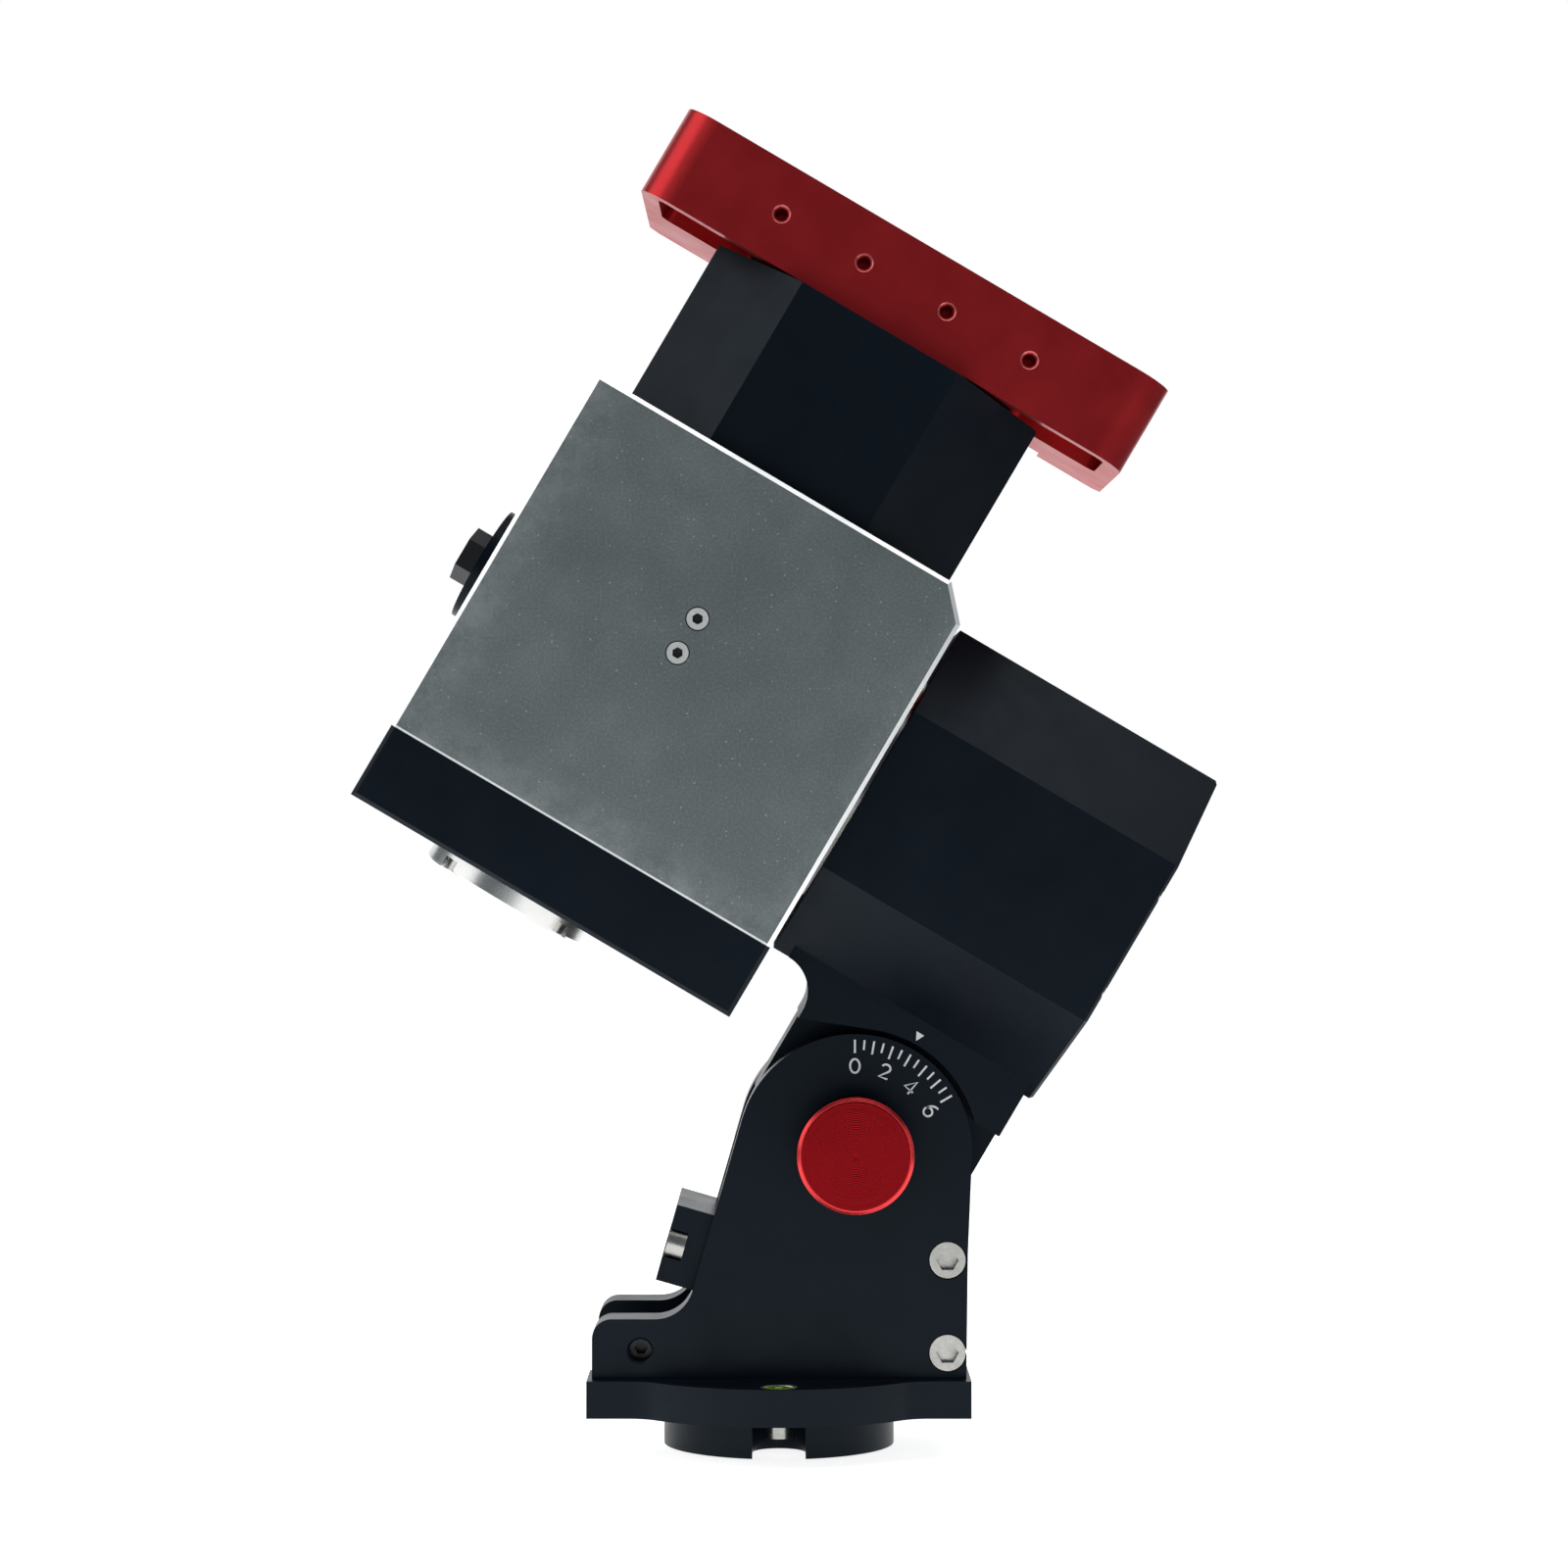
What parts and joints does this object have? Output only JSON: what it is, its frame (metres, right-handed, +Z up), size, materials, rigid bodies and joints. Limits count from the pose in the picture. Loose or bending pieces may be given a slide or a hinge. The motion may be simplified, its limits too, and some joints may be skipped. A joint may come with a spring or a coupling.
{
  "type": "equatorial mount head",
  "caption": "Motorised equatorial mount head: tripod base with fork, tilting polar drive, declination body and head, and a red dovetail saddle.",
  "frame": {"origin": "tripod boss axis at the boss's bottom face", "axes": "+Z up along the tripod axis, the altitude pivot along Y, the polar axis rising towards -X"},
  "size_m": [0.219, 0.1099, 0.3433],
  "materials": {
    "black_anodised": "satin black anodised",
    "red_anodised": "satin dark red anodised",
    "red_knob": "turned bright red anodised",
    "grey_case": "fine blasted grey",
    "bright_metal": "machined",
    "screw_steel": "bright zinc",
    "black_steel": "black oxide",
    "machined_steel": "ground",
    "motor_case": "satin",
    "bush_brass": "turned",
    "cam_alloy": "machined",
    "level_fluid": "clear green",
    "circuit_board": "solder mask",
    "socket_plastic": "moulded",
    "socket_shell": "plated"
  },
  "bodies": {
    "base": {"azimuth_base": "black_anodised", "bubble_level_cup": "bright_metal", "bubble_level_fluid": "level_fluid", "fork_plate_near": "black_anodised", "fork_plate_far": "black_anodised", "front_cross_block": "black_anodised", "rear_cross_block": "black_anodised", "base_screws": "screw_steel", "fork_plate_screws": "screw_steel", "front_block_screws": "screw_steel", "pivot_bolt": "machined_steel", "lock_washer": "machined_steel"},
    "lock_knob": {"altitude_lock_knob": "red_knob"},
    "near_azimuth_screw": {"azimuth_screw_near": "black_steel"},
    "far_azimuth_screw": {"azimuth_screw_far": "black_steel"},
    "front_altitude_screw": {"altitude_screw_front": "black_steel"},
    "rear_altitude_screw": {"altitude_screw_rear": "black_steel"},
    "tilting_head": {"tilt_bracket": "black_anodised", "altitude_bushes": "bush_brass", "bracket_screws": "screw_steel", "ra_housing": "black_anodised", "ra_rear_cover": "black_anodised", "ra_cover_screws": "screw_steel", "ra_bearing_outer_ring": "machined_steel", "ra_circular_spline": "machined_steel", "ra_motor_plate": "black_anodised", "ra_motor": "motor_case", "power_socket": "socket_plastic", "data_socket": "socket_shell"},
    "ra_rotor": {"ra_output_flange": "bright_metal", "ra_bearing_inner_ring": "machined_steel", "ra_bearing_balls": "bright_metal", "ra_flexspline": "bright_metal", "ra_flange_screws": "screw_steel", "dec_body": "grey_case", "dec_bottom_cap": "black_anodised", "cap_screws": "screw_steel", "board_screws": "screw_steel", "board_bracket": "bright_metal", "control_board": "circuit_board", "counterweight_socket": "bright_metal", "counterweight_screws": "screw_steel", "side_flange": "black_anodised", "side_bolt": "black_steel", "dec_head_housing": "black_anodised", "dec_bearing_outer_ring": "machined_steel", "dec_circular_spline": "machined_steel", "dec_motor_plate": "black_anodised", "dec_motor": "motor_case"},
    "ra_wave": {"ra_wave_generator": "cam_alloy"},
    "dec_wave": {"dec_wave_generator": "cam_alloy"},
    "dec_rotor": {"dec_output_flange": "black_anodised", "dec_bearing_inner_ring": "machined_steel", "dec_bearing_balls": "bright_metal", "dec_flexspline": "bright_metal", "saddle_screws": "screw_steel", "saddle_body": "red_anodised"},
    "moving_jaw": {"saddle_jaw": "red_anodised"},
    "left_clamp": {"clamp_knob_left": "red_knob"},
    "right_clamp": {"clamp_knob_right": "red_knob"}
  },
  "joints": [
    {"name": "altitude_tilt", "type": "hinge", "parent": "base", "child": "tilting_head", "pos_m": [0.0194, 0, 0.078], "axis": [0, 1, 0], "range_deg": [-30.5, 29.5]},
    {"name": "lock_knob_turn", "type": "hinge", "parent": "base", "child": "lock_knob", "pos_m": [0.0194, -0.03, 0.078], "axis": [0, -1, 0], "range_deg": [0, 180]},
    {"name": "near_azimuth_push", "type": "slide", "parent": "base", "child": "near_azimuth_screw", "axis": [0, 1, 0], "range_m": [0, 0.005]},
    {"name": "far_azimuth_push", "type": "slide", "parent": "base", "child": "far_azimuth_screw", "axis": [0, -1, 0], "range_m": [0, 0.005]},
    {"name": "front_altitude_push", "type": "slide", "parent": "base", "child": "front_altitude_screw", "axis": [0.9608, 0, -0.2773], "range_m": [0, 0.008]},
    {"name": "rear_altitude_push", "type": "slide", "parent": "base", "child": "rear_altitude_screw", "axis": [-1, 0, 0], "range_m": [0, 0.008]},
    {"name": "ra_rotation", "type": "hinge", "parent": "tilting_head", "child": "ra_rotor", "pos_m": [0.02151, 0, 0.17123], "axis": [-0.8616, 0, 0.5075], "range_deg": [-120, 120]},
    {"name": "ra_wave_spin", "type": "hinge", "parent": "tilting_head", "child": "ra_wave", "pos_m": [0.04348, 0, 0.15829], "axis": [-0.8616, 0, 0.5075], "range_deg": [-12000, 12000]},
    {"name": "dec_rotation", "type": "hinge", "parent": "ra_rotor", "child": "dec_rotor", "pos_m": [0.02547, 0, 0.28612], "axis": [0.5075, 0, 0.8616], "continuous": true},
    {"name": "dec_wave_spin", "type": "hinge", "parent": "ra_rotor", "child": "dec_wave", "pos_m": [0.00902, 0, 0.2582], "axis": [0.5075, 0, 0.8616], "continuous": true},
    {"name": "jaw_slide", "type": "slide", "parent": "dec_rotor", "child": "moving_jaw", "axis": [0, 1, 0], "range_m": [0, 0.006]},
    {"name": "left_clamp_turn", "type": "hinge", "parent": "moving_jaw", "child": "left_clamp", "pos_m": [-0.00071, 0.05, 0.30867], "axis": [0, 1, 0], "range_deg": [0, 1080]},
    {"name": "right_clamp_turn", "type": "hinge", "parent": "moving_jaw", "child": "right_clamp", "pos_m": [0.05788, 0.05, 0.27416], "axis": [0, 1, 0], "range_deg": [0, 1080]}
  ],
  "couplings": [
    {"joint": "ra_wave_spin", "follows": "ra_rotation", "ratio": -100},
    {"joint": "dec_wave_spin", "follows": "dec_rotation", "ratio": -100}
  ]
}
